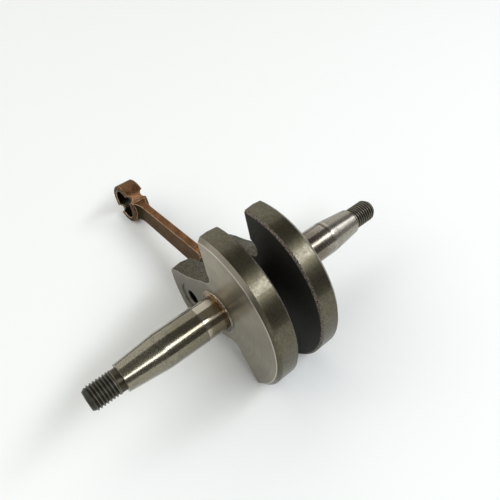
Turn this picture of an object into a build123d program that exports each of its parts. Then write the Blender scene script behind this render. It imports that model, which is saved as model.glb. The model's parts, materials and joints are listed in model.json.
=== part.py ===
from build123d import *
import os
from math import asin, atan2, cos, degrees, hypot, radians, sin, sqrt

# Built-up crankshaft of a small two-stroke engine, with its connecting rod.
#
# Frame, in millimetres: the main axis is X, from the near end of the shaft to the far end.
# The origin lies on the main axis, on the face of the near bearing shoulder. +Z is up and
# the connecting rod lies to +Y. The part lies at rest on a flat surface, on the tips of its
# counterweights, the corners of its pin lobes and the small end of its rod.
#
# Each web is drawn square to the main axis in the crank's own plane: "out" runs from the
# main axis to the crankpin and "across" runs up from it.

# ---- Webs ------------------------------------------------------------------------------
web_radius = 35.0             # turned rim
web_thickness = 9.7
web_gap = 11.8                # between the inner faces of the two webs
rim_chamfer = 1.6             # between the outer face and the rim
rim_inner_edge = 0.7          # chamfer between the rim and the inner face
forging_stock = 1.2           # what the forging has outside the turned rim
draft_angle = 8.0             # on the forged sides, from the parting line to each face
lobe_half_width = 13.7        # pin lobe at the parting line
lobe_corner_radius = 7.0
lobe_waist = 0.8              # how deep each side of the lobe is hollowed
lobe_waist_radius = 60.0
lobe_waist_out = 14.0         # deepest point of the hollow, out from the axis
flat_offset = 0.3             # where the counterweight's two flats would meet, out from the axis
flat_slope = 0.255            # how far a flat falls back per millimetre across
notch_radius = 4.4            # between a flat and the side of the lobe
notch_across = 17.6           # centre of the notch, across
notch_out_outer = -0.4        # centre of the notch, out, at the outer face
notch_out_inner = -3.2        # and at the inner face

# ---- Main shaft ------------------------------------------------------------------------
journal_radius = 7.5
shoulder_radius = 9.2         # raised ring that the bearing seats on
shoulder_height = 0.5
taper_end_radius = 5.8
near_journal_length = 25.8    # from the shoulder to the taper
near_taper_length = 17.0
near_neck_length = 2.3        # plain neck between the taper and the thread
near_thread_length = 11.1
far_journal_length = 27.8
far_taper_length = 14.9
far_neck_length = 0.9
far_thread_length = 12.1
neck_radius = 4.6
thread_root_radius = 4.15     # core of the M10 screw thread on each end
thread_end_chamfer = 0.6
centre_radius = 2.1           # centre drilling in each end, for turning and grinding
centre_floor_radius = 0.8
centre_depth = 2.3

# ---- Woodruff keyways, one in each taper, in line with the crankpin ----------------------
key_width = 3.0
key_cutter_radius = 6.5
key_depth = 2.6               # below the middle of the taper

# ---- Crankpin --------------------------------------------------------------------------
throw = 21.5                  # half of the stroke
pin_radius = 7.0
pin_bore_radius = 3.5
pin_recess = 0.45             # how far each end of the pin lies below the web's face
pin_bore_chamfer = 0.4
pin_hole_chamfer = 0.35

# ---- Big-end bearing -------------------------------------------------------------------
needle_count = 13
needle_radius = 1.25
bearing_play = 0.03           # between a needle and each race
pocket_play = 0.06            # between a needle and its pocket
cage_rim = 0.84               # solid ring at each end of the cage's windows
cage_play = 0.25              # between the cage and each race
cage_inset = 0.2              # of the cage from each face of the rod's big eye

# ---- Thrust washers --------------------------------------------------------------------
washer_thickness = 0.5
washer_radius = 12.0
washer_bore_play = 0.08
washer_play = 0.1             # on each face of the washer that the rod lies against

# ---- Connecting rod --------------------------------------------------------------------
rod_length = 79.0             # between the centres of its eyes
big_eye_radius = 13.2
big_eye_width = 7.6           # the rod lies slid along the pin, with this eye by the far washer
small_eye_radius = 10.25
small_eye_width = 9.4
small_bore_radius = 7.5
shank_thickness = 3.6         # along the main axis
shank_half_small = 4.6        # half of the shank's depth, carried on to the small eye's centre
shank_half_big = 6.0          # and to the big eye's centre
big_eye_flare = 6.0           # radius by which the shank widens to each eye
small_eye_flare = 12.0
eye_edge = 0.5
bore_chamfer = 0.35           # at the small eye's mouths
slot_radius = 2.0             # round oil slot across each face of an eye
slot_angle = -43.0            # from the rod's direction

# ---- Cutting -----------------------------------------------------------------------------
overrun = 2.0                 # of a cutter past each face that it goes through

# ---- Stations along the main axis --------------------------------------------------------
near_outer = shoulder_height
near_inner = near_outer + web_thickness
far_inner = near_inner + web_gap
far_outer = far_inner + web_thickness
far_shoulder = far_outer + shoulder_height
rod_far_face = far_inner - washer_thickness - 2 * washer_play
middle = rod_far_face - big_eye_width / 2    # of the rod, its needle rollers and their cage
cage_width = big_eye_width - 2 * cage_inset
needle_length = cage_width - 2 * (cage_rim + pocket_play)

# ---- Races of the big-end bearing ---------------------------------------------------------
needle_circle = pin_radius + bearing_play + needle_radius
big_bore_radius = needle_circle + needle_radius + bearing_play

# ---- How the crank lies -------------------------------------------------------------------
# The lower lobe corner is a round of lobe_corner_radius and the lower tip of the counterweight
# is where its flat meets the rim. The surface is the line that touches both.
stock_radius = web_radius + forging_stock
corner_across = lobe_half_width - lobe_corner_radius
corner_out = sqrt((stock_radius - lobe_corner_radius) ** 2 - corner_across ** 2)
tip_a = 1 + flat_slope ** 2
tip_b = flat_offset * flat_slope
tip_across = (tip_b + sqrt(tip_b ** 2 + tip_a * (web_radius ** 2 - flat_offset ** 2))) / tip_a
tip_out = flat_offset - flat_slope * tip_across
run = corner_out - tip_out
rise = tip_across - corner_across
crank_tilt = degrees(atan2(rise, run) - asin(lobe_corner_radius / hypot(run, rise)))
axis_height = tip_out * sin(radians(crank_tilt)) + tip_across * cos(radians(crank_tilt))

# ---- How the rod lies: its small end touches the same surface -------------------------------
pin_y = throw * cos(radians(crank_tilt))
pin_z = -throw * sin(radians(crank_tilt))
rod_drop = degrees(asin((axis_height - small_eye_radius + pin_z) / rod_length))


def same(one, other):
    """Whether two sizes agree to a hundredth of a millimetre."""
    return abs(one - other) < 0.01


def along_x(radius, x_from, x_to, y=0.0, z=0.0):
    """A solid cylinder parallel to the main axis between two stations."""
    start = Plane(origin=(x_from, y, z), z_dir=(1, 0, 0))
    return extrude(start * Circle(radius), amount=x_to - x_from)


def turned(points):
    """A solid of revolution about the main axis from (station, radius) points."""
    outline = Polyline(*[(x, r, 0) for x, r in points], close=True)
    return revolve(make_face(outline), axis=Axis.X)


def tilt(shape):
    """Turn a piece from the crank's own plane to the way the crank lies."""
    return Rot(X=-crank_tilt) * shape


def web_outline():
    """Forged outline of a web at its parting line: counterweight, two notches and pin lobe."""
    far = 2 * stock_radius
    fan = make_face(Polyline(
        (flat_offset, 0), (flat_offset - flat_slope * far, far), (-far, far),
        (-far, -far), (flat_offset - flat_slope * far, -far), close=True))
    lobe = Pos((far - lobe_half_width) / 2, 0) * Rectangle(far + lobe_half_width, 2 * lobe_half_width)
    waist_across = lobe_half_width - lobe_waist + lobe_waist_radius
    lobe -= Pos(lobe_waist_out, waist_across) * Circle(lobe_waist_radius)
    lobe -= Pos(lobe_waist_out, -waist_across) * Circle(lobe_waist_radius)
    blank = (fan + lobe) & Circle(stock_radius)
    notch_out = flat_offset - flat_slope * lobe_half_width
    inner = [v for v in blank.vertices() if same(v.X, notch_out) and same(abs(v.Y), lobe_half_width)]
    blank = fillet(inner, notch_radius)
    end = sqrt(stock_radius ** 2 - lobe_half_width ** 2)
    corners = [v for v in blank.vertices() if same(v.X, end) and same(abs(v.Y), lobe_half_width)]
    return fillet(corners, lobe_corner_radius)


def web(outer, inner):
    """One web: a drafted forging, turned on its rim, with relieved notches."""
    side = 1 if inner > outer else -1
    centre = (outer + inner) / 2
    parting = Plane.YZ.offset(centre) * web_outline()
    half = web_thickness / 2
    forging = extrude(parting, amount=half, taper=draft_angle)
    forging += extrude(parting, amount=-half, taper=draft_angle)
    rim = turned([
        (outer, 0),
        (outer, web_radius - rim_chamfer),
        (outer + side * rim_chamfer, web_radius),
        (inner - side * rim_inner_edge, web_radius),
        (inner, web_radius - rim_inner_edge),
        (inner, 0)])
    body = forging & rim
    for sign in (1, -1):
        start = Vector(outer, notch_out_outer, sign * notch_across)
        end = Vector(inner, notch_out_inner, sign * notch_across)
        slant = (end - start).normalized()
        cutter = Plane(origin=start - slant * overrun, z_dir=slant) * Circle(notch_radius)
        body -= extrude(cutter, amount=(end - start).length + 2 * overrun)
    low, high = min(outer, inner), max(outer, inner)
    hole = along_x(pin_radius, low - overrun, high + overrun, y=throw)
    lead = Plane(origin=(outer, throw, 0), z_dir=(side, 0, 0))
    lead *= Pos(0, 0, pin_hole_chamfer / 2) * Cone(
        pin_radius + pin_hole_chamfer, pin_radius, pin_hole_chamfer)
    return body - hole - lead


def shaft(shoulder, side, journal_length, taper_length, neck_length, thread_length):
    """One end of the main shaft, from inside its web out to the end of its thread."""
    def at(distance):
        return shoulder + side * distance

    taper_start = journal_length
    taper_end = taper_start + taper_length
    neck_end = taper_end + neck_length
    end = neck_end + thread_length
    body = turned([
        (at(-shoulder_height), 0),
        (at(-shoulder_height), shoulder_radius),
        (at(0), shoulder_radius),
        (at(0), journal_radius),
        (at(taper_start), journal_radius),
        (at(taper_end), taper_end_radius),
        (at(taper_end), neck_radius),
        (at(neck_end), neck_radius),
        (at(neck_end), thread_root_radius),
        (at(end - thread_end_chamfer), thread_root_radius),
        (at(end), thread_root_radius - thread_end_chamfer),
        (at(end), 0)])
    centre = turned([
        (at(end), 0), (at(end), centre_radius),
        (at(end - centre_depth), centre_floor_radius), (at(end - centre_depth), 0)])
    middle_radius = (journal_radius + taper_end_radius) / 2
    cutter_height = middle_radius - key_depth + key_cutter_radius
    cutter = Pos(at(taper_start + taper_length / 2), cutter_height, 0) * Cylinder(
        key_cutter_radius, key_width)
    return body - centre - cutter


def near_crank_half():
    """Near web and shaft, one forging."""
    return tilt(web(near_outer, near_inner) + shaft(
        0, -1, near_journal_length, near_taper_length, near_neck_length, near_thread_length))


def far_crank_half():
    """Far web and shaft, one forging."""
    return tilt(web(far_outer, far_inner) + shaft(
        far_shoulder, 1, far_journal_length, far_taper_length, far_neck_length, far_thread_length))


def crankpin():
    """Hollow pin pressed into both webs."""
    start = near_outer + pin_recess
    end = far_outer - pin_recess
    pin = along_x(pin_radius, start, end)
    pin -= along_x(pin_bore_radius, start - overrun, end + overrun)
    mouths = [e for e in pin.edges().filter_by(GeomType.CIRCLE) if same(e.radius, pin_bore_radius)]
    return tilt(Pos(0, throw, 0) * chamfer(mouths, pin_bore_chamfer))


def at_pin(shape):
    """Move a piece from the main axis to the crankpin's axis."""
    return Pos(0, pin_y, pin_z) * shape


def eye(centre, radius, width):
    """Round eye of the rod with chamfered rims, still without its bore."""
    disc = along_x(radius, middle - width / 2, middle + width / 2, y=centre)
    return chamfer(disc.edges().filter_by(GeomType.CIRCLE), eye_edge)


def flare(widest, away, width, radius):
    """Plan of the shank where it widens, along two arcs, from its widest place inside an eye."""
    half = shank_thickness / 2
    step = width / 2 - half
    reach = sqrt(2 * radius * step - step ** 2)
    plan = Pos(0, widest + away * reach / 2) * Rectangle(width, reach)
    for side in (-1, 1):
        plan -= Pos(side * (half + radius), widest + away * reach) * Circle(radius)
    return plan


def shank():
    """Tapering bar between the eyes' centres: its side view and its plan, crossed."""
    side_view = Plane.YZ.offset(middle - small_eye_width) * make_face(Polyline(
        (0, shank_half_big), (rod_length, shank_half_small),
        (rod_length, -shank_half_small), (0, -shank_half_big), close=True))
    in_big_eye = sqrt(big_eye_radius ** 2 - shank_half_big ** 2)
    in_small_eye = sqrt(small_eye_radius ** 2 - shank_half_big ** 2)
    plan = Pos(0, rod_length / 2) * Rectangle(shank_thickness, rod_length)
    plan += flare(in_big_eye, 1, big_eye_width - 2 * eye_edge, big_eye_flare)
    plan += flare(rod_length - in_small_eye, -1, small_eye_width - 2 * eye_edge, small_eye_flare)
    bar = extrude(side_view, amount=2 * small_eye_width)
    return bar & extrude(Plane.XY.offset(-big_eye_radius) * Pos(middle) * plan, amount=2 * big_eye_radius)


def oil_slot(centre, radius, width):
    """Cutter of the round slots across both faces of an eye, along one diameter."""
    cutter = Rot(X=90) * Cylinder(slot_radius, 2 * (radius + overrun))
    slots = Pos(middle - width / 2) * cutter + Pos(middle + width / 2) * cutter
    return Pos(0, centre, 0) * Rot(X=slot_angle) * slots


def connecting_rod():
    """Forged rod: two round eyes and a flat shank, drawn along +Y from the big eye."""
    rod = eye(0, big_eye_radius, big_eye_width) + eye(rod_length, small_eye_radius, small_eye_width)
    rod += shank()
    reach = small_eye_width
    rod -= along_x(big_bore_radius, middle - reach, middle + reach)
    rod -= along_x(small_bore_radius, middle - reach, middle + reach, y=rod_length)
    mouths = [e for e in rod.edges().filter_by(GeomType.CIRCLE)
              if same(e.radius, small_bore_radius) and same(e.center().Y, rod_length)]
    rod = chamfer(mouths, bore_chamfer)
    rod -= oil_slot(0, big_eye_radius, big_eye_width)
    rod -= oil_slot(rod_length, small_eye_radius, small_eye_width)
    return at_pin(Rot(X=-rod_drop) * rod)


def needle(index):
    """One needle roller of the big-end bearing."""
    half = needle_length / 2
    roller = along_x(needle_radius, middle - half, middle + half, y=needle_circle)
    return at_pin(Rot(X=index * 360 / needle_count) * roller)


def needle_cage():
    """Ring that keeps the needles apart, with a window for each."""
    outer = big_bore_radius - cage_play
    inner = pin_radius + cage_play
    half = cage_width / 2
    ring = along_x(outer, middle - half, middle + half)
    ring -= along_x(inner, middle - half - overrun, middle + half + overrun)
    window = Pos(middle, needle_circle, 0) * Box(
        needle_length + 2 * pocket_play, 4 * needle_radius, 2 * (needle_radius + pocket_play))
    for index in range(needle_count):
        ring -= Rot(X=index * 360 / needle_count) * window
    return at_pin(ring)


def thrust_washer(web_face, side):
    """Plain washer on the pin beside the inner face of a web."""
    start = web_face + side * washer_play
    end = start + side * washer_thickness
    low, high = min(start, end), max(start, end)
    washer = along_x(washer_radius, low, high)
    washer -= along_x(pin_radius + washer_bore_play, low - overrun, high + overrun)
    return at_pin(washer)


def pieces():
    """Every piece of the crankshaft by name."""
    made = {
        "near_crank_half": near_crank_half(),
        "far_crank_half": far_crank_half(),
        "crankpin": crankpin(),
        "connecting_rod": connecting_rod(),
        "big_end_cage": needle_cage(),
        "near_thrust_washer": thrust_washer(near_inner, 1),
        "far_thrust_washer": thrust_washer(far_inner, -1),
    }
    for index in range(needle_count):
        made[f"needle_{index + 1:02d}"] = needle(index)
    return made


def main():
    os.makedirs("parts", exist_ok=True)
    for name, shape in pieces().items():
        export_step(shape, f"parts/{name}.step")
        print(f"{name}: {shape.volume:.1f} mm3")
    print(f"crank tilt {crank_tilt:.3f} deg, rod drop {rod_drop:.3f} deg")
    print(f"axis height {axis_height:.3f}, pin at y {pin_y:.4f} z {pin_z:.4f}")
    print(f"middle {middle:.3f}, big-end bore radius {big_bore_radius:.3f}")


main()
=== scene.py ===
"""Finish and stage for a small-engine crankshaft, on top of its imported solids."""

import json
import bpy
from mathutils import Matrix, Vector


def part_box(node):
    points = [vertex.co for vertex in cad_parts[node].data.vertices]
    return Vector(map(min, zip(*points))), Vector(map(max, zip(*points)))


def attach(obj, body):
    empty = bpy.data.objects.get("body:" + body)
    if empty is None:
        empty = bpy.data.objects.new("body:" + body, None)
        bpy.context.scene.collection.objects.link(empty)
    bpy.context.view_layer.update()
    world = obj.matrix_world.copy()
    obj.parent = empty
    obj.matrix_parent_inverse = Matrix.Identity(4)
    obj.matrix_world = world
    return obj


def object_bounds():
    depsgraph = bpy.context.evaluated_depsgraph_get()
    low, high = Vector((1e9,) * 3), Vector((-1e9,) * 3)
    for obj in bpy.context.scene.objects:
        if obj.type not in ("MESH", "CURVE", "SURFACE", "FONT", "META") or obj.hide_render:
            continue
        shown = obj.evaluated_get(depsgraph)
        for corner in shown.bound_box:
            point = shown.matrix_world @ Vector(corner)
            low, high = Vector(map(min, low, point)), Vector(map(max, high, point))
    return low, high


bl_info = {
    "name": "Small-Engine Crankshaft",
    "version": (1, 0, 0),
    "blender": (4, 5, 0),
    "location": "3D View > Sidebar > Crankshaft",
    "description": "Cuts the screw threads and gives every piece its worn steel or copper finish",
    "category": "Add Mesh",
}

from math import atan2, hypot, pi, radians, tau
from typing import NamedTuple

import bmesh
import bpy
import numpy as np
from mathutils import Euler, Vector

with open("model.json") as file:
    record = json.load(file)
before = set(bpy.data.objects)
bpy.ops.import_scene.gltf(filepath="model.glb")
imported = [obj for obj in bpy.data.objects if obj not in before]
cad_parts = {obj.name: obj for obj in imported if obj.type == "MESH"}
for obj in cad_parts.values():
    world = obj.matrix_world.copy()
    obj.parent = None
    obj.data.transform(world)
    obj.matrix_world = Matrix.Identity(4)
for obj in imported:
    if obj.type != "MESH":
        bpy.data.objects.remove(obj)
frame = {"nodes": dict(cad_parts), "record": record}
CAD_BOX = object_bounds()

MM = 0.001
MOUNTS = {mount["name"]: mount for mount in frame["record"]["mounts"]}
JOINTS = {joint["name"]: joint for joint in frame["record"]["behaviour"]["joints"]}
PIN = JOINTS["rod_swing"]["pos_m"]
SMALL_EYE = MOUNTS["small_end_bore"]["pos_m"]
ROD_LENGTH = hypot(SMALL_EYE[1] - PIN[1], SMALL_EYE[2] - PIN[2])
NEAR_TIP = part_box("near_crank_half")[0][0]
FAR_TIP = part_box("far_crank_half")[1][0]

# Turns that bring a piece back to the plane it was drawn in, with its long way along Y.
CRANK_TURN = (-atan2(PIN[2], PIN[1]), 0.0, 0.0)
ROD_TURN = (-atan2(SMALL_EYE[2] - PIN[2], SMALL_EYE[1] - PIN[1]), 0.0, 0.0)


# ---- Properties ----------------------------------------------------------------------------

def length(name, description, default):
    """A length that a user may change, in metres."""
    return bpy.props.FloatProperty(
        name=name, description=description, default=default, min=0.0,
        subtype="DISTANCE", unit="LENGTH", precision=5)


def colour(name, description, default):
    """A surface colour that a user may change."""
    return bpy.props.FloatVectorProperty(
        name=name, description=description, default=default, min=0.0, max=1.0,
        size=3, subtype="COLOR")


def amount(name, description, default, low=0.0, high=1.0):
    """A plain number that a user may change."""
    return bpy.props.FloatProperty(
        name=name, description=description, default=default, min=low, max=high)


class ThreadSettings(bpy.types.PropertyGroup):
    pitch: length("Pitch", "Distance from crest to crest", 1.25 * MM)
    crest_radius: length("Crest radius", "Half of the outside diameter", 4.88 * MM)
    root_radius: length("Root radius", "Half of the diameter at the root", 4.20 * MM)
    tip_radius: length("Tip radius", "Radius where the end chamfer meets the end face", 3.75 * MM)
    chamfer_length: length("Chamfer length", "Length of the end chamfer along the axis", 1.8 * MM)
    run_in: length("Run-in", "Length over which the groove reaches its full depth", 0.9 * MM)
    core_radius: length("Core radius", "Radius inside the core, where the mesh closes", 4.10 * MM)
    core_chamfer: length("Core chamfer", "Chamfer of the core at its end", 0.6 * MM)
    crest_colour: colour("Crest", "Rubbed steel on the crests", (0.25, 0.230, 0.175))
    root_colour: colour("Root", "Oily dark steel in the grooves", (0.050, 0.047, 0.036))


class CrankSettings(bpy.types.PropertyGroup):
    face_colour: colour("Turned face", "Outer faces of the webs", (0.268, 0.242, 0.188))
    rim_colour: colour("Turned rim", "Rims of the counterweights", (0.106, 0.094, 0.060))
    forged_colour: colour("Forged skin", "Sides of the web as forged", (0.080, 0.069, 0.042))
    # Also painted shade: these faces are made near black where shade falls between the webs.
    inner_scale_and_shade_colour: colour("Inner face", "Blackened faces between the webs", (0.010, 0.009, 0.005))
    seat_colour: colour("Bearing seat", "Polished seat beside each web", (0.37, 0.33, 0.245))
    near_journal_colour: colour("Near journal", "Ground journal under old oil", (0.158, 0.136, 0.082))
    near_taper_colour: colour("Near taper", "Ground taper, stained", (0.225, 0.203, 0.140))
    far_journal_colour: colour("Far journal", "Ground journal, nearly dry", (0.175, 0.148, 0.112))
    far_taper_colour: colour("Far taper", "Ground taper, nearly dry", (0.36, 0.330, 0.270))
    ring_colour: colour("Ring mark", "Fretting mark where a bearing ended", (0.10, 0.065, 0.036))
    # Also a painted highlight: brightened on the upper part of the shoulder's face.
    varnish_and_highlight_colour: colour("Varnish", "Baked oil at the root of the shaft", (0.15, 0.082, 0.024))
    # Also painted shade: low on the shoulder's face and on the face at the taper's foot.
    grime_and_shade_colour: colour("Grime", "Dark oil in the corners", (0.035, 0.030, 0.019))
    edge_colour: colour("Edges", "Bright rubbed edges", (0.55, 0.52, 0.45))
    inner_edge_colour: colour("Inner edges", "Ragged edges of the blackened faces", (0.30, 0.25, 0.20))
    turning: amount("Turning", "How far the turning lines stretch the reflections", 0.75, 0.0, 1.0)
    edge_radius: length("Edge radius", "Radius of the rubbed edges", 0.4 * MM)


class RodSettings(bpy.types.PropertyGroup):
    top_colour: colour("Copper", "Copper flash where it is still bright", (0.178, 0.088, 0.042))
    side_colour: colour("Dull copper", "Copper flash gone brown", (0.088, 0.049, 0.027))
    # Also painted shade where the shank flares into the small eye.
    dirt_and_shade_colour: colour("Dirt", "Burnt oil in the corners", (0.022, 0.020, 0.012))
    edge_colour: colour("Edges", "Copper rubbed bright along the edges", (0.84, 0.57, 0.37))
    glancing_colour: colour("Glancing tint", "Tint of the reflections at a low angle", (0.82, 0.75, 0.65))
    face_colour: colour("Eye faces", "Ground faces of the eyes", (0.020, 0.014, 0.008))
    edge_radius: length("Edge radius", "Radius of the rubbed edges", 0.4 * MM)


class BearingSettings(bpy.types.PropertyGroup):
    pin_colour: colour("Crankpin", "Ground end of the crankpin", (0.14, 0.13, 0.105))
    needle_colour: colour("Needles", "Polished needle rollers", (0.55, 0.54, 0.50))
    cage_colour: colour("Cage", "Copper-flashed cage", (0.33, 0.22, 0.13))
    washer_colour: colour("Washers", "Ground thrust washers", (0.26, 0.23, 0.175))
    # Also painted shade in that gap.
    oil_and_shade_colour: colour("Oil", "Dark oil in the gap round the crankpin", (0.02, 0.017, 0.01))


class StageSettings(bpy.types.PropertyGroup):
    floor_size: length("Floor size", "Side of the square floor", 2.0)
    floor_colour: colour("Floor", "Matt white floor", (0.97, 0.975, 0.925))
    camera_place: bpy.props.FloatVectorProperty(
        name="Camera place", description="Where the camera stands", size=3,
        default=(-62.765 * MM, -102.181 * MM, 159.642 * MM), subtype="TRANSLATION", unit="LENGTH")
    camera_turn: bpy.props.FloatVectorProperty(
        name="Camera turn", description="Rotation of the camera", size=3,
        default=(radians(43.406), radians(2.093), radians(-40.464)), subtype="EULER", unit="ROTATION")
    camera_lens: amount("Lens", "Focal length in millimetres", 36.8, 10.0, 200.0)
    room_level: amount("Room level", "Light from all around", 0.20, 0.0, 4.0)
    wall_level: amount("Wall level", "Light of the pale wall behind the part", 0.85, 0.0, 10.0)
    window_level: amount("Window level", "Light of the window beside the camera", 8.0, 0.0, 40.0)
    fill_level: amount("Fill level", "Light of the broad screen on the near side", 1.1, 0.0, 10.0)


# ---- Shader nodes ----------------------------------------------------------------------------

# Sockets of the Mix node, by number because their names repeat.
FACTOR = 0
NUMBER_A, NUMBER_B, NUMBER_OUT = 2, 3, 0
COLOUR_A, COLOUR_B, COLOUR_OUT = 6, 7, 2


class Look(NamedTuple):
    """How a surface looks. A value may be a number, a colour or another node's socket."""
    colour: object
    rough: object
    metal: object = 1.0
    height: object = 0.0      # in millimetres
    film: object = 0.0        # share of the surface under clear oil


class Finish:
    """One material's nodes. A value may be a number, a colour or another node's socket."""

    BAND_CORE = 0.4           # share of a band's half width that holds its full strength
    EDGE_START = 0.992        # agreement of the rounded and the true normal where an edge begins
    EDGE_FULL = 0.93          # and where it counts in full
    BEVEL_SAMPLES = 6
    QUARTER_TURN = 0.25       # of the stretched reflections, counted in whole turns

    def __init__(self, name):
        self.material = bpy.data.materials.new(name)
        self.material.use_nodes = True
        self.tree = self.material.node_tree
        self.tree.nodes.clear()
        self.surface = self.tree.nodes.new("ShaderNodeBsdfPrincipled")
        output = self.tree.nodes.new("ShaderNodeOutputMaterial")
        self.tree.links.new(self.surface.outputs["BSDF"], output.inputs["Surface"])

    def feed(self, socket, value):
        """Link a socket to another, or set its value."""
        if isinstance(value, bpy.types.NodeSocket):
            self.tree.links.new(value, socket)
        elif socket.type == "RGBA":
            socket.default_value = (*value, 1.0)
        else:
            socket.default_value = value

    def node(self, kind, values, **settings):
        """A node with its settings and with its inputs fed by name or number."""
        made = self.tree.nodes.new(kind)
        for key, value in settings.items():
            setattr(made, key, value)
        for key, value in values.items():
            self.feed(made.inputs[key], value)
        return made

    def maths(self, operation, a, b=0.0, c=0.0):
        """One Math node."""
        return self.node("ShaderNodeMath", {0: a, 1: b, 2: c}, operation=operation).outputs[0]

    def rise(self, value, low, high):
        """0 below low, 1 above high, smooth between; falls instead where high is less than low."""
        made = self.node(
            "ShaderNodeMapRange", {"Value": value, "From Min": low, "From Max": high},
            interpolation_type="SMOOTHSTEP")
        return made.outputs["Result"]

    def near(self, value, middle, half_width):
        """1 where a value is at its middle, falling to 0 at a half width from it."""
        away = self.maths("ABSOLUTE", self.maths("SUBTRACT", value, middle))
        return self.rise(away, half_width, half_width * self.BAND_CORE)

    def both(self, *masks):
        """Where all the masks hold. A plain number among them weakens the result."""
        held = masks[0]
        for mask in masks[1:]:
            held = self.maths("MULTIPLY", held, mask)
        return held

    def either(self, a, b):
        """Where at least one mask holds."""
        return self.maths("MAXIMUM", a, b)

    def blend(self, mask, a, b):
        """Colour a where the mask is 0 and b where it is 1."""
        values = {FACTOR: mask, COLOUR_A: a, COLOUR_B: b}
        return self.node("ShaderNodeMix", values, data_type="RGBA").outputs[COLOUR_OUT]

    def between(self, mask, a, b):
        """Number a where the mask is 0 and b where it is 1."""
        return self.node("ShaderNodeMix", {FACTOR: mask, NUMBER_A: a, NUMBER_B: b}).outputs[NUMBER_OUT]

    def stray(self, value, noise, reach):
        """A value that strays with a noise, by a reach at most to either side."""
        return self.maths("ADD", value, self.between(noise, -reach, reach))

    def dim(self, base, factor):
        """A colour made lighter or darker by a factor."""
        values = {FACTOR: 1.0, COLOUR_A: base, COLOUR_B: self.join(factor, factor, factor)}
        made = self.node("ShaderNodeMix", values, data_type="RGBA", blend_type="MULTIPLY")
        return made.outputs[COLOUR_OUT]

    def vary(self, base, *steps):
        """A colour dimmed in steps of (mask, factor where it is 0, factor where it is 1)."""
        for mask, low, high in steps:
            base = self.dim(base, self.between(mask, low, high))
        return base

    def lay(self, mask, under, over):
        """One look over another where the mask is 1."""
        colours = self.blend(mask, under.colour, over.colour)
        return Look(colours, *(self.between(mask, a, b) for a, b in zip(under[1:], over[1:])))

    def speckle(self, vector, scale, octaves=3.0, roughness=0.55, stretch=(1.0, 1.0, 1.0)):
        """Noise over a point in millimetres, stretched along its axes. A larger scale is finer."""
        point = self.node(
            "ShaderNodeVectorMath", {0: vector, 1: stretch}, operation="MULTIPLY").outputs[0]
        made = self.node(
            "ShaderNodeTexNoise",
            {"Vector": point, "Scale": scale, "Detail": octaves, "Roughness": roughness})
        return made.outputs["Fac"]

    def point(self, turn=(0.0, 0.0, 0.0), centre=(0.0, 0.0, 0.0)):
        """The point on the piece in millimetres from a centre, after a turn."""
        place = self.node("ShaderNodeTexCoord", {}).outputs["Object"]
        moved = self.node("ShaderNodeVectorMath", {0: place, 1: centre}, operation="SUBTRACT").outputs[0]
        made = self.node(
            "ShaderNodeMapping", {"Vector": moved, "Rotation": turn, "Scale": (1 / MM, 1 / MM, 1 / MM)})
        return made.outputs[0]

    def facing(self, turn=(0.0, 0.0, 0.0)):
        """The way the surface faces, after a turn, as separate parts."""
        normal = self.node("ShaderNodeTexCoord", {}).outputs["Normal"]
        made = self.node("ShaderNodeMapping", {"Vector": normal, "Rotation": turn}, vector_type="NORMAL")
        return self.split(made.outputs[0])

    def split(self, vector):
        """The three parts of a vector."""
        return self.node("ShaderNodeSeparateXYZ", {0: vector}).outputs

    def join(self, x, y, z):
        """A vector from three parts."""
        return self.node("ShaderNodeCombineXYZ", {0: x, 1: y, 2: z}).outputs[0]

    def from_axis(self, y, z):
        """Distance from the axis along X."""
        made = self.node("ShaderNodeVectorMath", {0: self.join(0.0, y, z)}, operation="LENGTH")
        return made.outputs["Value"]

    def rounded(self, radius):
        """Normal of the surface with its edges rounded, and a mask of those edges."""
        soft = self.node("ShaderNodeBevel", {"Radius": radius}, samples=self.BEVEL_SAMPLES).outputs[0]
        true = self.node("ShaderNodeNewGeometry", {}).outputs["Normal"]
        match = self.node("ShaderNodeVectorMath", {0: soft, 1: true}, operation="DOT_PRODUCT")
        return soft, self.rise(match.outputs["Value"], self.EDGE_START, self.EDGE_FULL)

    def turned(self, point, turn, strength):
        """Stretch the reflections across the fine lines left by turning about the X axis.

        point is in the plane the piece was drawn in, and turn is the turn that led there.
        """
        _, y, z = self.split(point)
        around = self.join(0.0, self.maths("MULTIPLY", z, -1.0), y)
        back = self.node(
            "ShaderNodeVectorRotate", {"Vector": around, "Angle": -turn[0]}, rotation_type="X_AXIS")
        placed = self.node(
            "ShaderNodeVectorTransform", {0: back.outputs[0]}, vector_type="VECTOR",
            convert_from="OBJECT", convert_to="WORLD")
        self.feed(self.surface.inputs["Tangent"], placed.outputs[0])
        self.surface.inputs["Anisotropic"].default_value = strength
        self.surface.inputs["Anisotropic Rotation"].default_value = self.QUARTER_TURN

    def finish(self, look, normal=None):
        """Feed the surface with a look, over a rounded normal where there is one."""
        bump = {"Height": look.height, "Strength": 1.0, "Distance": MM}
        if normal is not None:
            bump["Normal"] = normal
        values = {
            "Base Color": look.colour, "Roughness": look.rough, "Metallic": look.metal,
            "Coat Weight": look.film, "Normal": self.node("ShaderNodeBump", bump).outputs[0]}
        for key, value in values.items():
            self.feed(self.surface.inputs[key], value)
        return self.material


def dress(material, *nodes):
    """Give CAD nodes a material."""
    for name in nodes:
        for part in frame["nodes"][name].material_slots:
            part.material = material


# ---- Screw threads -----------------------------------------------------------------------------

TURN_STEPS = 96               # flat steps round one turn of a thread
FLANK_STEPS = 4               # along each part of its wave
WAVE_PHASE = [0.0, 0.12, 0.50, 0.62, 1.0]
WAVE_HEIGHT = [1.0, 1.0, 0.0, 0.0, 1.0]
MERGE_REACH = 2e-7            # in metres; points nearer than this are one


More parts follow.
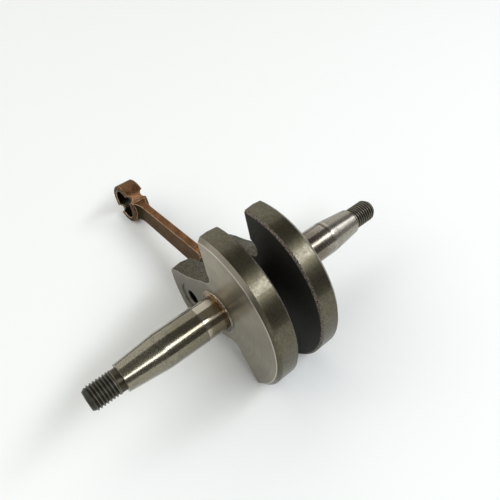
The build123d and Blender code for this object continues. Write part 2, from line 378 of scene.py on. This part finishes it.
def thread_surface(start, end, settings):
    """Points of a closed screw thread around the X axis, as a grid of stations and angles.

    A point at distance d from the start and at angle a lies at the radius of a trapezoid wave
    of the phase d / pitch - a / (one turn): the crest for the first eighth of a pitch, down a
    flank to the root, which takes the eighth after the middle, and up the other flank. The
    wave fades in over the run-in and is cut down by a cone towards the tip. Distances are held
    between the thread's two ends, so every column ends in the same two planes, and each column
    then returns inside the core, which closes it.
    """
    side = 1.0 if end > start else -1.0
    span = abs(end - start)
    angles = np.linspace(0.0, tau, TURN_STEPS + 1)[None, :]
    pieces = [np.linspace(a, b, FLANK_STEPS + 1)[:-1] for a, b in zip(WAVE_PHASE, WAVE_PHASE[1:])]
    turns = np.arange(-1, int(span / settings.pitch) + 2)
    offsets = (turns[:, None] + np.concatenate(pieces)[None, :]).ravel()[:, None] * settings.pitch
    distance = np.clip(offsets + settings.pitch * angles / tau, 0.0, span)
    phase = np.mod(distance / settings.pitch - angles / tau, 1.0)
    wave = 1.0 - np.interp(phase, WAVE_PHASE, WAVE_HEIGHT)
    depth = (settings.crest_radius - settings.root_radius) * wave
    radius = settings.crest_radius - depth * np.clip(distance / settings.run_in, 0.0, 1.0)
    slope = (settings.crest_radius - settings.tip_radius) / settings.chamfer_length
    radius = np.minimum(radius, settings.tip_radius + (span - distance) * slope)
    way_back = [
        (span, settings.core_radius - settings.core_chamfer),
        (span - settings.core_chamfer, settings.core_radius),
        (0.0, settings.core_radius)]
    for place, reach in way_back:
        distance = np.vstack([distance, np.full_like(angles, place)])
        radius = np.vstack([radius, np.full_like(angles, reach)])
    distance = np.vstack([distance, distance[:1]])
    radius = np.vstack([radius, radius[:1]])
    turn = side * angles
    return np.stack([start + side * distance, radius * np.cos(turn), radius * np.sin(turn)], axis=-1)


def grid_mesh(name, points):
    """An object whose mesh has a face for each cell of a grid of points."""
    rows, columns = points.shape[:2]
    index = np.arange(rows * columns).reshape(rows, columns)
    corners = [index[:-1, :-1], index[1:, :-1], index[1:, 1:], index[:-1, 1:]]
    faces = np.stack(corners, axis=-1).reshape(-1, 4)
    mesh = bpy.data.meshes.new(name)
    mesh.from_pydata(points.reshape(-1, 3), [], faces)
    piece = bpy.data.objects.new(name, mesh)
    bpy.context.scene.collection.objects.link(piece)
    return piece


def close_seams(piece):
    """Merge doubled points, drop what collapses and turn the faces outward."""
    work = bmesh.new()
    work.from_mesh(piece.data)
    bmesh.ops.remove_doubles(work, verts=work.verts, dist=MERGE_REACH)
    bmesh.ops.dissolve_degenerate(work, edges=work.edges, dist=MERGE_REACH)
    bmesh.ops.recalc_face_normals(work, faces=work.faces)
    work.to_mesh(piece.data)
    work.free()


def thread_finish(settings):
    """Oily dark thread with rubbed crests."""
    made = Finish("thread_steel")
    point = made.point()
    _, y, z = made.split(point)
    grime = made.speckle(point, 0.9, 4.0)
    grain = made.speckle(point, 4.0, 2.0)
    crest_radius = settings.crest_radius / MM
    crest = made.rise(made.from_axis(y, z), crest_radius - 0.25, crest_radius - 0.04)
    rubbed = made.both(crest, made.between(grime, 0.35, 1.2))
    tint = made.blend(rubbed, settings.root_colour, settings.crest_colour)
    tint = made.vary(tint, (grain, 0.7, 1.3))
    return made.finish(Look(tint, made.between(grime, 0.50, 0.34), 0.85, made.between(grain, 0.0, 0.02)))


def screw_thread(name, tip, settings, material):
    """One screw thread, from the neck that its mount gives to the end of the shaft."""
    piece = grid_mesh(name, thread_surface(MOUNTS[name]["pos_m"][0], tip, settings))
    close_seams(piece)
    piece.data.materials.append(material)
    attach(piece, "crank")


# ---- Crank halves --------------------------------------------------------------------------------

# Where the finishes of a crank half meet, in millimetres.
FACE_EDGE_RADIUS = 33.4       # between the turned face and its chamfer
TURNED_RADIUS = 33.1          # outside it the web is turned on its rim and chamfers
RIM_RADIUS = 35.0
FACE_OUT = -0.5               # the turned face, out from the bearing shoulder
INNER_OUT = -10.2             # the inner face
SHOULDER_RADIUS = 9.2
CREEP_RADIUS = 11.5           # how far varnish has crept out over the web's face
NECK_RADIUS = 5.6
SEAT_LENGTH = 9.4             # of the polished bearing seat

# Round the shaft from the crankpin, to either side or one way, in radians.
LIT_SECTOR_ANGLE = 2.20            # to the middle of the painted light on a face
LIT_SECTOR_WIDTH = 0.75            # and from there to where that painted light ends
LOBE_ANGLE = 1.4              # the face is darker up to here
CLEAR_ANGLE = 1.9             # and at its full colour from here on


class Place(NamedTuple):
    """Where a point of a crank half lies and faces, each value being a socket."""
    point: object             # in millimetres, in the plane the half was drawn in
    out: object               # out from the bearing shoulder in millimetres, negative in the web
    radius: object            # from the shaft's axis, in millimetres
    angle: object             # round the shaft from the crankpin, in radians
    outward: object           # how far the surface faces out along the shaft
    radial: object            # how far it faces away from the shaft's axis
    up: object                # height over the axis, as a share of the radius
    worn: object              # 1 on rounded edges


class Ground(NamedTuple):
    """How one end of the shaft is ground, and how it has aged."""
    journal_colour: object
    taper_colour: object
    journal_rough: float
    taper_rough: float
    relief: float             # in millimetres
    film: float               # share under clear oil
    ring_mark: float          # strength of the mark where a bearing ended


def web_look(made, place, settings):
    """The web: forged skin, turned rim and face, and the inner face, black with painted shade."""
    out, radius, angle, outward, up = place.out, place.radius, place.angle, place.outward, place.up
    fleck = made.speckle(place.point, 1.3, 4.0, 0.65)
    grit = made.speckle(place.point, 3.2, 3.0, 0.7)
    cloud = made.speckle(place.point, 0.09, 3.0)
    coarse = made.speckle(place.point, 0.35, 4.0, 0.6)
    past_face = made.rise(radius, TURNED_RADIUS - 0.1, TURNED_RADIUS + 0.1)

    # Forged skin: dark grey with light specks, over coarse grit.
    skin = made.vary(
        settings.forged_colour,
        (made.rise(fleck, 0.38, 0.62), 0.40, 1.30),
        (made.rise(grit, 0.54, 0.66), 1.0, 3.6))
    look = Look(skin, 0.58, 0.6, made.between(grit, 0.0, 0.10))

    # Rim and its chamfers: turned round the circumference, with light scratches, duller on the chamfers,
    # with painted shade underneath, and oily in spots on the upper side.
    lines = made.speckle(made.join(out, angle, 0.0), 5.0, 3.0, 0.7)
    streaks = made.speckle(made.join(out, made.maths("MULTIPLY", angle, 9.0), 0.0), 2.4, 4.0, 0.75)
    rim = made.vary(
        settings.rim_colour,
        (lines, 0.80, 1.20),
        (made.rise(coarse, 0.3, 0.7), 0.92, 1.06),
        (made.rise(fleck, 0.3, 0.7), 0.86, 1.16),
        (made.rise(streaks, 0.53, 0.68), 0.96, 1.4),
        (made.rise(radius, RIM_RADIUS - 0.2, FACE_EDGE_RADIUS + 0.2), 1.0, 0.72),
        # Painted shade: the rim darker on its underside.
        (made.rise(up, 0.2, -0.6), 1.0, 0.70))
    oily_spots = made.between(made.rise(fleck, 0.35, 0.65), 0.05, 0.5)
    rim_film = made.both(made.rise(up, -0.3, 0.3), oily_spots)
    rim_look = Look(rim, made.between(streaks, 0.44, 0.22), 1.0, made.between(lines, 0.0, 0.012), rim_film)
    look = made.lay(made.both(made.rise(place.radial, 0.4, 0.6), past_face), look, rim_look)

    # Turned face: fine rings, bands and clouds, painted light in one sector, darker near the crankpin,
    # and a bright line round its edge. It takes in the top of the chamfer, lighter there as painted light.
    rings = made.speckle(made.join(radius, 0.0, 0.0), 7.0, 2.0)
    bands = made.speckle(made.join(radius, made.maths("MULTIPLY", angle, 0.3), 0.0), 0.9, 3.0, 0.6)
    flat = made.rise(outward, 0.85, 0.95)
    scribed = made.near(radius, FACE_EDGE_RADIUS, 0.30)
    face = made.vary(
        settings.face_colour,
        (rings, 0.90, 1.10),
        (made.rise(bands, 0.3, 0.7), 0.92, 1.08),
        (made.rise(cloud, 0.3, 0.7), 0.88, 1.12),
        # Painted light: one sector of the face made lighter.
        (made.near(made.stray(angle, cloud, 0.2), LIT_SECTOR_ANGLE, LIT_SECTOR_WIDTH), 1.0, 1.20),
        (made.rise(made.maths("ABSOLUTE", angle), CLEAR_ANGLE, LOBE_ANGLE), 1.0, 0.66))
    face = made.blend(made.both(scribed, 0.65), face, settings.edge_colour)
    face = made.vary(face, (flat, made.between(scribed, 0.72, 1.0), 1.0))
    # Painted light: the top of the chamfer gets the lighter face finish, on the upper side only.
    lit_top_of_chamfer = made.both(
        made.rise(outward, 0.35, 0.5), past_face, made.either(made.rise(up, 0.55, 0.95), scribed))
    face_look = Look(face, made.between(cloud, 0.30, 0.38), 1.0, made.between(rings, 0.0, 0.006))
    look = made.lay(made.either(flat, lit_top_of_chamfer), look, face_look)

    # Inner face: scorched black and painted shade, grainy; its edge is rubbed through in a ragged pale
    # line.
    inner_height = made.between(grit, 0.0, 0.06)
    inner = made.vary(settings.inner_scale_and_shade_colour, (made.rise(fleck, 0.35, 0.7), 0.55, 1.8))
    burnt_and_shaded = Look(inner, 0.60, 0.4, inner_height)
    look = made.lay(made.rise(outward, -0.80, -0.95), look, burnt_and_shaded)
    at_inner_edge = made.both(
        made.rise(made.stray(out, fleck, 0.55), INNER_OUT + 1.0, INNER_OUT + 0.6),
        made.rise(radius, RIM_RADIUS - 1.1, RIM_RADIUS - 0.8))
    look = made.lay(at_inner_edge, look, burnt_and_shaded)
    rubbed = made.both(at_inner_edge, made.rise(made.speckle(place.point, 2.4, 4.0, 0.75), 0.44, 0.56))
    pale = made.vary(settings.inner_edge_colour, (grit, 0.3, 1.3))
    look = made.lay(rubbed, look, Look(pale, 0.45, 0.9, inner_height))

    # Thin bright line round the edge of the turned face.
    face_line = made.both(
        place.worn, made.rise(out, FACE_OUT - 0.7, FACE_OUT - 0.4), made.rise(outward, -0.2, 0.1))
    bright = made.vary(settings.edge_colour, (coarse, 0.5, 1.1))
    return made.lay(face_line, look, Look(bright, 0.30))


def shaft_look(made, place, ground, taper_start, neck_start, settings):
    """The shaft: varnished shoulder, polished seat, oily journal, stained taper and dark neck."""
    out, radius, up = place.out, place.radius, place.up
    blotch = made.speckle(place.point, 1.7, 5.0, 0.72)
    smear = made.speckle(place.point, 0.45, 4.0, 0.65, (0.35, 1.0, 1.0))
    fine = made.speckle(place.point, 3.4, 3.0, 0.7)
    stain = made.rise(made.speckle(place.point, 0.55, 4.0, 0.7), 0.46, 0.62)
    above = made.rise(up, 0.35, 0.8)
    height = made.between(fine, 0.0, ground.relief)

    # Journal and taper: mottled, the one fading into the other, and scuffed where they meet.
    mottled = made.both(
        made.between(made.rise(blotch, 0.40, 0.60), 0.80, 1.12),
        made.between(made.rise(fine, 0.38, 0.62), 0.82, 1.16))
    fading = made.rise(made.stray(out, smear, 7.0), taper_start - 10.0, taper_start + 1.0)
    tint = made.blend(
        fading, made.dim(ground.journal_colour, mottled), made.dim(ground.taper_colour, mottled))
    tint = made.vary(tint, (made.both(stain, made.near(out, taper_start - 0.5, 6.0)), 1.0, 0.72))
    on_taper = made.rise(out, taper_start - 1.0, taper_start + 1.0)
    rough = made.between(on_taper, ground.journal_rough, ground.taper_rough)
    rough = made.stray(rough, made.rise(blotch, 0.3, 0.7), 0.05)
    look = Look(tint, rough, 1.0, height, ground.film)

    # Brown ring mark just before the taper, with a paler one beside it, both on the upper side.
    ring = made.both(
        made.near(out, taper_start - 1.2, 1.0), made.rise(smear, 0.30, 0.46), above, ground.ring_mark)
    look = made.lay(ring, look, Look(settings.ring_colour, 0.4, 0.9, height))
    pale_ring = made.both(made.near(out, taper_start - 0.1, 1.1), above, ground.ring_mark * 0.6)
    look = made.lay(pale_ring, look, Look(settings.edge_colour, 0.25, 1.0, height))

    # Seat: polished pale, ending in a thin dark line.
    seat = made.vary(settings.seat_colour, (smear, 0.90, 1.08))
    polished = Look(seat, made.between(smear, 0.10, 0.16), 1.0, made.between(fine, 0.0, 0.002), ground.film)
    look = made.lay(made.rise(out, SEAT_LENGTH + 0.2, SEAT_LENGTH - 0.1), look, polished)
    border = made.both(made.near(out, SEAT_LENGTH, 0.35), 0.4)
    look = made.lay(border, look, Look(settings.grime_and_shade_colour, 0.4, 0.8))

    # Baked oil at the root; painted shade low on the shoulder's face and a painted gold highlight high on
    # it.
    baked = made.vary(settings.varnish_and_highlight_colour, (blotch, 0.6, 1.2))
    root = made.rise(made.stray(out, smear, 1.4), made.between(above, 2.4, 4.8), 0.6)
    look = made.lay(made.both(root, 0.85), look, Look(baked, 0.25, 0.9, film=0.4))
    # Painted shade: the lower part of the shoulder's face darkened.
    low_face_painted_shade = made.both(made.rise(out, 0.22, 0.05), made.rise(up, 0.9, -0.2))
    look = made.lay(low_face_painted_shade, look, Look(settings.grime_and_shade_colour, 0.35, 0.7))
    # Painted highlight: the upper part of the shoulder's face lit gold.
    painted_gold_highlight = made.both(
        made.rise(out, 0.1, 0.02), made.rise(radius, SHOULDER_RADIUS - 0.3, SHOULDER_RADIUS - 0.9),
        made.rise(up, 0.35, 0.85))
    look = made.lay(painted_gold_highlight, look, Look(made.dim(settings.varnish_and_highlight_colour, 2.6), 0.25, film=0.6))
    rim_line = made.both(place.worn, made.rise(radius, SHOULDER_RADIUS - 0.5, SHOULDER_RADIUS - 0.25))
    look = made.lay(rim_line, look, Look(settings.edge_colour, 0.25))

    # Neck and the face at the taper's foot: dark; on that face it is painted shade.
    at_neck = made.both(
        made.rise(out, neck_start - 2.5, neck_start - 2.2),
        made.rise(radius, NECK_RADIUS + 0.1, NECK_RADIUS - 0.1))
    dark = made.vary(settings.grime_and_shade_colour, (fine, 1.2, 2.4))
    return made.lay(at_neck, look, Look(dark, 0.42, 0.85, height))


def crank_finish(end, side, ground, settings):
    """Turned, ground and forged steel, told apart by station, radius and facing.

    end names the half's mounts, and side is the way out along its shaft.
    """
    made = Finish(f"{end}_crank_steel")
    shoulder = MOUNTS[f"{end}_shoulder"]["pos_m"][0]
    taper_start = MOUNTS[f"{end}_journal"]["dims"]["length_mm"]
    neck_start = abs(MOUNTS[f"{end}_thread"]["pos_m"][0] - shoulder) / MM
    point = made.point(CRANK_TURN)
    x, y, z = made.split(point)
    nx, ny, nz = made.facing(CRANK_TURN)
    radius = made.from_axis(y, z)
    away = made.maths("ADD", made.maths("MULTIPLY", ny, y), made.maths("MULTIPLY", nz, z))
    soft, worn = made.rounded(settings.edge_radius)
    place = Place(
        point=point,
        out=made.maths("MULTIPLY", made.maths("SUBTRACT", x, shoulder / MM), side),
        radius=radius,
        angle=made.maths("ARCTAN2", z, y),
        outward=made.maths("MULTIPLY", nx, side),
        radial=made.maths("DIVIDE", away, radius),
        up=made.maths("DIVIDE", made.split(made.point())[2], radius),
        worn=worn)
    web = web_look(made, place, settings)
    creep = made.stray(radius, made.speckle(point, 0.5, 4.0, 0.65), 2.0)
    crept = made.both(
        made.rise(creep, CREEP_RADIUS, SHOULDER_RADIUS - 0.2), made.rise(place.outward, 0.85, 0.95),
        made.rise(place.up, -0.4, 0.5), 0.5)
    web = made.lay(crept, web, Look(settings.varnish_and_highlight_colour, 0.25))
    shaft = shaft_look(made, place, ground, taper_start, neck_start, settings)
    on_shaft = made.both(
        made.rise(place.out, FACE_OUT + 0.05, FACE_OUT + 0.12),
        made.rise(radius, SHOULDER_RADIUS + 0.3, SHOULDER_RADIUS + 0.1))
    made.turned(point, CRANK_TURN, settings.turning)
    return made.finish(made.lay(on_shaft, web, shaft), soft)


# ---- Connecting rod --------------------------------------------------------------------------------

# Distances from the middle of the small eye, in millimetres.
EYE_BORE = MOUNTS["small_end_bore"]["dims"]["r_mm"]
EYE_FACE = 10.4               # outside of the ground ring on each face
EYE_ROOT = 12.0               # where the shank has left the eye
DIRT_AND_SHADE_END = 18.0               # dirt and painted shade reach this far along the shank
SHADE_END = 50.0               # painted shade darkens the shank's sides up to here


def rod_finish(settings):
    """Forged rod with a copper flash, dull on its sides and bright along its edges."""
    made = Finish("rod_copper")
    point = made.point(ROD_TURN, tuple(PIN))
    _, y, z = made.split(point)
    sideways = made.maths("ABSOLUTE", made.facing(ROD_TURN)[0])
    soft, worn = made.rounded(settings.edge_radius)
    from_eye = made.from_axis(made.maths("SUBTRACT", y, ROD_LENGTH / MM), z)
    cloud = made.speckle(point, 0.22, 4.0, 0.6)
    fleck = made.speckle(point, 1.5, 4.0, 0.65)
    grit = made.speckle(point, 3.6, 3.0, 0.65)
    on_side = made.rise(sideways, 0.35, 0.75)
    height = made.between(grit, 0.0, 0.06)

    # Copper flash, brown on the two sides, with painted shade on them towards the small eye.
    base = made.vary(
        made.blend(on_side, settings.top_colour, settings.side_colour),
        (made.rise(cloud, 0.3, 0.7), 0.62, 1.18),
        (made.rise(fleck, 0.35, 0.65), 0.65, 1.35),
        # Painted shade: the sides darker towards the small eye.
        (made.both(made.rise(from_eye, SHADE_END, EYE_ROOT), on_side), 1.0, 0.65))
    base = made.blend(made.rise(grit, 0.60, 0.72), base, made.dim(settings.top_colour, 1.6))
    look = Look(base, made.between(fleck, 0.34, 0.48), 1.0, height)

    # Ground ring on each face of the small eye, dirt and painted shade in its flare and black oil in its
    # bore.
    ground = made.both(made.rise(sideways, 0.93, 0.98), made.rise(from_eye, EYE_FACE + 0.2, EYE_FACE - 0.2))
    face = made.vary(settings.face_colour, (cloud, 0.7, 1.2))
    look = made.lay(ground, look, Look(face, 0.42, 1.0, height))
    # Dirt and painted shade in the flare round the eye.
    grime = made.both(
        made.rise(from_eye, DIRT_AND_SHADE_END, EYE_ROOT), made.rise(from_eye, EYE_FACE - 0.8, EYE_FACE),
        made.rise(sideways, 0.15, 0.5), 0.85)
    look = made.lay(grime, look, Look(settings.dirt_and_shade_colour, 0.45, 1.0, height))
    inside = made.both(made.rise(from_eye, EYE_BORE + 0.4, EYE_BORE + 0.1), made.rise(sideways, 0.5, 0.3))
    look = made.lay(inside, look, Look(settings.dirt_and_shade_colour, 0.35, 1.0, height))

    # Edges and the bore's mouth: copper rubbed bright in flecks, half as much on the eye's face.
    mouth = made.both(made.near(from_eye, EYE_BORE + 0.25, 0.35), made.rise(sideways, 0.3, 0.5))
    rubbed = made.both(
        made.either(worn, mouth), made.rise(fleck, 0.30, 0.55),
        made.rise(from_eye, EYE_BORE - 0.2, EYE_BORE),
        made.between(made.rise(from_eye, EYE_FACE + 0.6, EYE_FACE - 1.4), 1.0, 0.5))
    look = made.lay(rubbed, look, Look(settings.edge_colour, 0.32, 1.0, height))
    made.surface.inputs["Specular Tint"].default_value = (*settings.glancing_colour, 1.0)
    return made.finish(look, soft)


# ---- Crankpin and bearing ----------------------------------------------------------------------------

def ground_finish(name, base, roughness, relief, edge_radius=0.12, oil_and_shade_ring=None, oil=None):
    """Ground steel: fine specks, soft clouds and rubbed edges.

    roughness is its lowest and highest value. Lengths are in millimetres. The oil and shade ring is
    the radius about the crankpin outside which the given colour, oil and painted shade, fills a gap in the
    face.
    """
    made = Finish(name)
    point = made.point(centre=tuple(PIN))
    soft, worn = made.rounded(edge_radius * MM)
    fleck = made.speckle(point, 3.0, 3.0)
    tint = made.vary(base, (made.speckle(point, 0.5, 3.0), 0.7, 1.25))
    tint = made.blend(made.both(worn, 0.5), tint, made.dim(base, 1.6))
    look = Look(tint, made.between(fleck, *roughness), 1.0, made.between(fleck, 0.0, relief))
    if oil_and_shade_ring is not None:
        _, y, z = made.split(point)
        # Oil and painted shade: the gap round the crankpin made dark.
        oily = made.both(
            made.rise(made.from_axis(y, z), oil_and_shade_ring - 0.12, oil_and_shade_ring + 0.06),
            made.rise(made.maths("ABSOLUTE", made.facing()[0]), 0.5, 0.9))
        look = made.lay(oily, look, Look(oil, 0.3, 0.5))
    return made.finish(look, soft)


# ---- Operators ------------------------------------------------------------------------------------

class CRANKSHAFT_OT_threads(bpy.types.Operator):
    """Cut the screw thread on each end of the shaft"""
    bl_idname = "crankshaft.threads"
    bl_label = "Screw threads"

    def execute(self, context):
        settings = context.scene.crankshaft_threads
        material = thread_finish(settings)
        screw_thread("near_thread", NEAR_TIP, settings, material)
        screw_thread("far_thread", FAR_TIP, settings, material)
        return {"FINISHED"}


class CRANKSHAFT_OT_crank(bpy.types.Operator):
    """Give both halves of the crank their turned, ground and forged finishes"""
    bl_idname = "crankshaft.crank"
    bl_label = "Crank halves"

    def execute(self, context):
        settings = context.scene.crankshaft_crank
        near = Ground(
            settings.near_journal_colour, settings.near_taper_colour, journal_rough=0.22,
            taper_rough=0.26, relief=0.005, film=1.0, ring_mark=0.0)
        far = Ground(
            settings.far_journal_colour, settings.far_taper_colour, journal_rough=0.24,
            taper_rough=0.42, relief=0.003, film=0.5, ring_mark=0.8)
        dress(crank_finish("near", -1.0, near, settings), "near_crank_half")
        dress(crank_finish("far", 1.0, far, settings), "far_crank_half")
        return {"FINISHED"}


class CRANKSHAFT_OT_rod(bpy.types.Operator):
    """Give the connecting rod its copper flash"""
    bl_idname = "crankshaft.rod"
    bl_label = "Connecting rod"

    def execute(self, context):
        dress(rod_finish(context.scene.crankshaft_rod), "connecting_rod")
        return {"FINISHED"}


class CRANKSHAFT_OT_bearing(bpy.types.Operator):
    """Finish the crankpin, the needle rollers, their cage and the thrust washers"""
    bl_idname = "crankshaft.bearing"
    bl_label = "Crankpin and bearing"

    def execute(self, context):
        settings = context.scene.crankshaft_bearing
        needles = [name for name in frame["nodes"] if name.startswith("needle_")]
        pin = ground_finish(
            "pin_steel", settings.pin_colour, (0.25, 0.40), relief=0.006, oil_and_shade_ring=6.8,
            oil=settings.oil_and_shade_colour)
        roller = ground_finish(
            "needle_steel", settings.needle_colour, (0.10, 0.20), relief=0.003, edge_radius=0.05)
        cage = ground_finish("cage_copper", settings.cage_colour, (0.25, 0.40), relief=0.006)
        washer = ground_finish("washer_steel", settings.washer_colour, (0.25, 0.42), relief=0.006)
        dress(pin, "crankpin")
        dress(roller, *needles)
        dress(cage, "big_end_cage")
        dress(washer, "near_thrust_washer", "far_thrust_washer")
        return {"FINISHED"}


class CRANKSHAFT_OT_stage(bpy.types.Operator):
    """Lay the floor and set the lights, the room and the camera"""
    bl_idname = "crankshaft.stage"
    bl_label = "Stage"

    def execute(self, context):
        settings = context.scene.crankshaft_stage
        lay_floor(settings)
        light_room(settings)
        set_camera(settings)
        return {"FINISHED"}


# ---- Stage ----------------------------------------------------------------------------------------

def lay_floor(settings):
    """A flat matt floor under the part."""
    half = settings.floor_size / 2
    height = CAD_BOX[0][2]
    corners = [(-half, -half, height), (half, -half, height), (half, half, height), (-half, half, height)]
    mesh = bpy.data.meshes.new("floor")
    mesh.from_pydata(corners, [], [(0, 1, 2, 3)])
    floor = bpy.data.objects.new("floor", mesh)
    bpy.context.scene.collection.objects.link(floor)
    made = Finish("floor_white")
    mesh.materials.append(made.finish(Look(settings.floor_colour, rough=0.9, metal=0.0)))


LIGHT_DISTANCE = 1.0          # of each panel from the middle of the part, in metres


def panel(name, direction, width, height, level, tint=(1.0, 1.0, 1.0)):
    """A soft rectangular light that faces the part from a direction."""
    light = bpy.data.lights.new(name, "AREA")
    light.shape = "RECTANGLE"
    light.size = width
    light.size_y = height
    light.energy = level * width * height * pi
    light.color = tint
    lamp = bpy.data.objects.new(name, light)
    middle = (Vector(CAD_BOX[0]) + Vector(CAD_BOX[1])) / 2
    way = Vector(direction).normalized()
    lamp.location = middle + way * LIGHT_DISTANCE
    lamp.rotation_euler = (-way).to_track_quat("-Z", "Y").to_euler()
    bpy.context.scene.collection.objects.link(lamp)


def light_room(settings):
    """A pale wall behind the part, a window beside the camera, a screen and a dim room.

    The camera sees the room white; the part is lit by it at the room level.
    """
    world = bpy.data.worlds.new("room")
    bpy.context.scene.world = world
    world.use_nodes = True
    background = world.node_tree.nodes["Background"]
    background.inputs["Color"].default_value = (1.0, 1.0, 1.0, 1.0)
    seen = world.node_tree.nodes.new("ShaderNodeLightPath")
    strength = world.node_tree.nodes.new("ShaderNodeMath")
    strength.operation = "MAXIMUM"
    strength.inputs[1].default_value = settings.room_level
    world.node_tree.links.new(seen.outputs["Is Camera Ray"], strength.inputs[0])
    world.node_tree.links.new(strength.outputs[0], background.inputs["Strength"])
    panel("wall", (0.05, 0.75, 0.60), width=2.4, height=1.1, level=settings.wall_level)
    panel(
        "window", (0.34, -0.60, 0.72), width=1.50, height=0.22, level=settings.window_level,
        tint=(0.94, 0.98, 1.06))
    panel("fill", (-0.80, 0.15, 0.60), width=1.2, height=0.8, level=settings.fill_level)


def set_camera(settings):
    """The camera, above the near end of the shaft."""
    scene = bpy.context.scene
    camera = bpy.data.cameras.new("camera")
    camera.lens = settings.camera_lens
    camera.sensor_width = 36.0
    camera.clip_start = 0.01
    camera.clip_end = 20.0
    holder = bpy.data.objects.new("camera", camera)
    holder.location = settings.camera_place
    holder.rotation_euler = Euler(settings.camera_turn, "XYZ")
    scene.collection.objects.link(holder)
    scene.camera = holder
    scene.view_settings.view_transform = "Standard"


# ---- Panel and registration -------------------------------------------------------------------------

STEPS = (
    ("threads", ThreadSettings, CRANKSHAFT_OT_threads),
    ("crank", CrankSettings, CRANKSHAFT_OT_crank),
    ("rod", RodSettings, CRANKSHAFT_OT_rod),
    ("bearing", BearingSettings, CRANKSHAFT_OT_bearing),
    ("stage", StageSettings, CRANKSHAFT_OT_stage),
)


class CRANKSHAFT_PT_panel(bpy.types.Panel):
    """Sizes, colours and steps of the crankshaft"""
    bl_label = "Crankshaft"
    bl_idname = "CRANKSHAFT_PT_panel"
    bl_space_type = "VIEW_3D"
    bl_region_type = "UI"
    bl_category = "Crankshaft"

    def draw(self, context):
        for name, group, operator in STEPS:
            box = self.layout.box()
            box.operator(operator.bl_idname)
            settings = getattr(context.scene, f"crankshaft_{name}")
            for key in group.__annotations__:
                box.prop(settings, key)


def register():
    for name, group, operator in STEPS:
        bpy.utils.register_class(group)
        bpy.utils.register_class(operator)
        setattr(bpy.types.Scene, f"crankshaft_{name}", bpy.props.PointerProperty(type=group))
    bpy.utils.register_class(CRANKSHAFT_PT_panel)


def unregister():
    bpy.utils.unregister_class(CRANKSHAFT_PT_panel)
    for name, group, operator in reversed(STEPS):
        delattr(bpy.types.Scene, f"crankshaft_{name}")
        bpy.utils.unregister_class(operator)
        bpy.utils.unregister_class(group)


def main():
    register()
    for name, *_ in STEPS:
        getattr(bpy.ops.crankshaft, name)()


if __name__ == "__main__":
    main()
